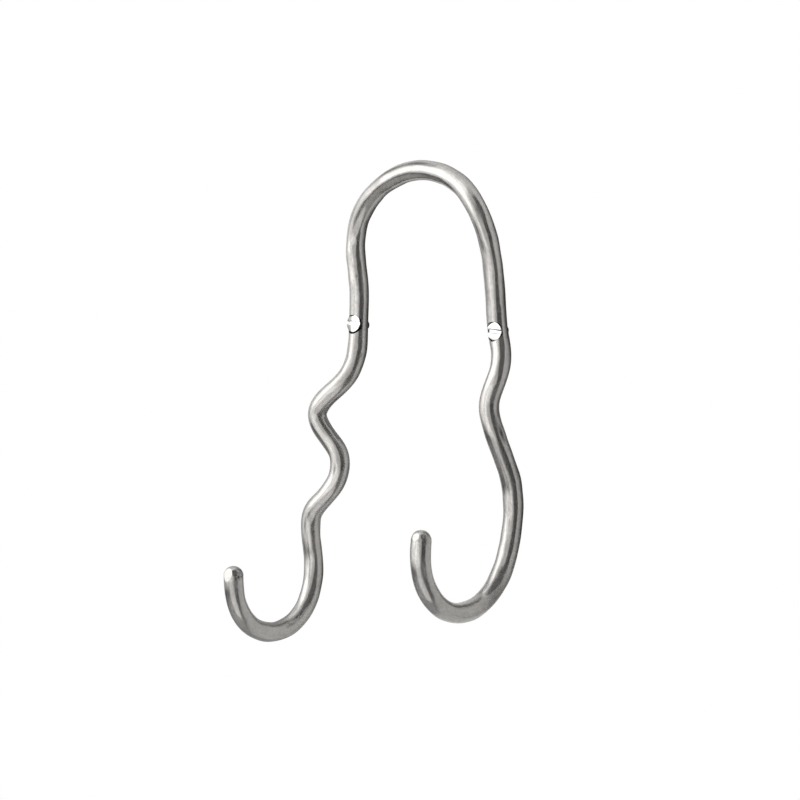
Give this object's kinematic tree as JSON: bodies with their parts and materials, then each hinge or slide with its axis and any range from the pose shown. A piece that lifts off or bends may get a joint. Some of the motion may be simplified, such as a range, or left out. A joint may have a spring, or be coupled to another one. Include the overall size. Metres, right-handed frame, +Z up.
{
  "type": "double wall hook",
  "caption": "Wall hook bent from round steel rod: an arch whose waved legs curl forwards into upturned hooks, held by slotted countersunk screws through the rod.",
  "frame": {"origin": "on the wall plane, midway between the two screws", "axes": "+X to the right as seen from the room, +Y into the wall, +Z up; the hooks reach towards -Y"},
  "size_m": [0.1078, 0.0934, 0.197],
  "materials": {
    "satin_steel": "satin, finely grained, lightly scratched",
    "bright_steel": "bright turned heads, plated threads"
  },
  "bodies": {
    "root": {"bent_rod": "satin_steel", "screw_left": "bright_steel", "screw_right": "bright_steel"}
  },
  "joints": []
}
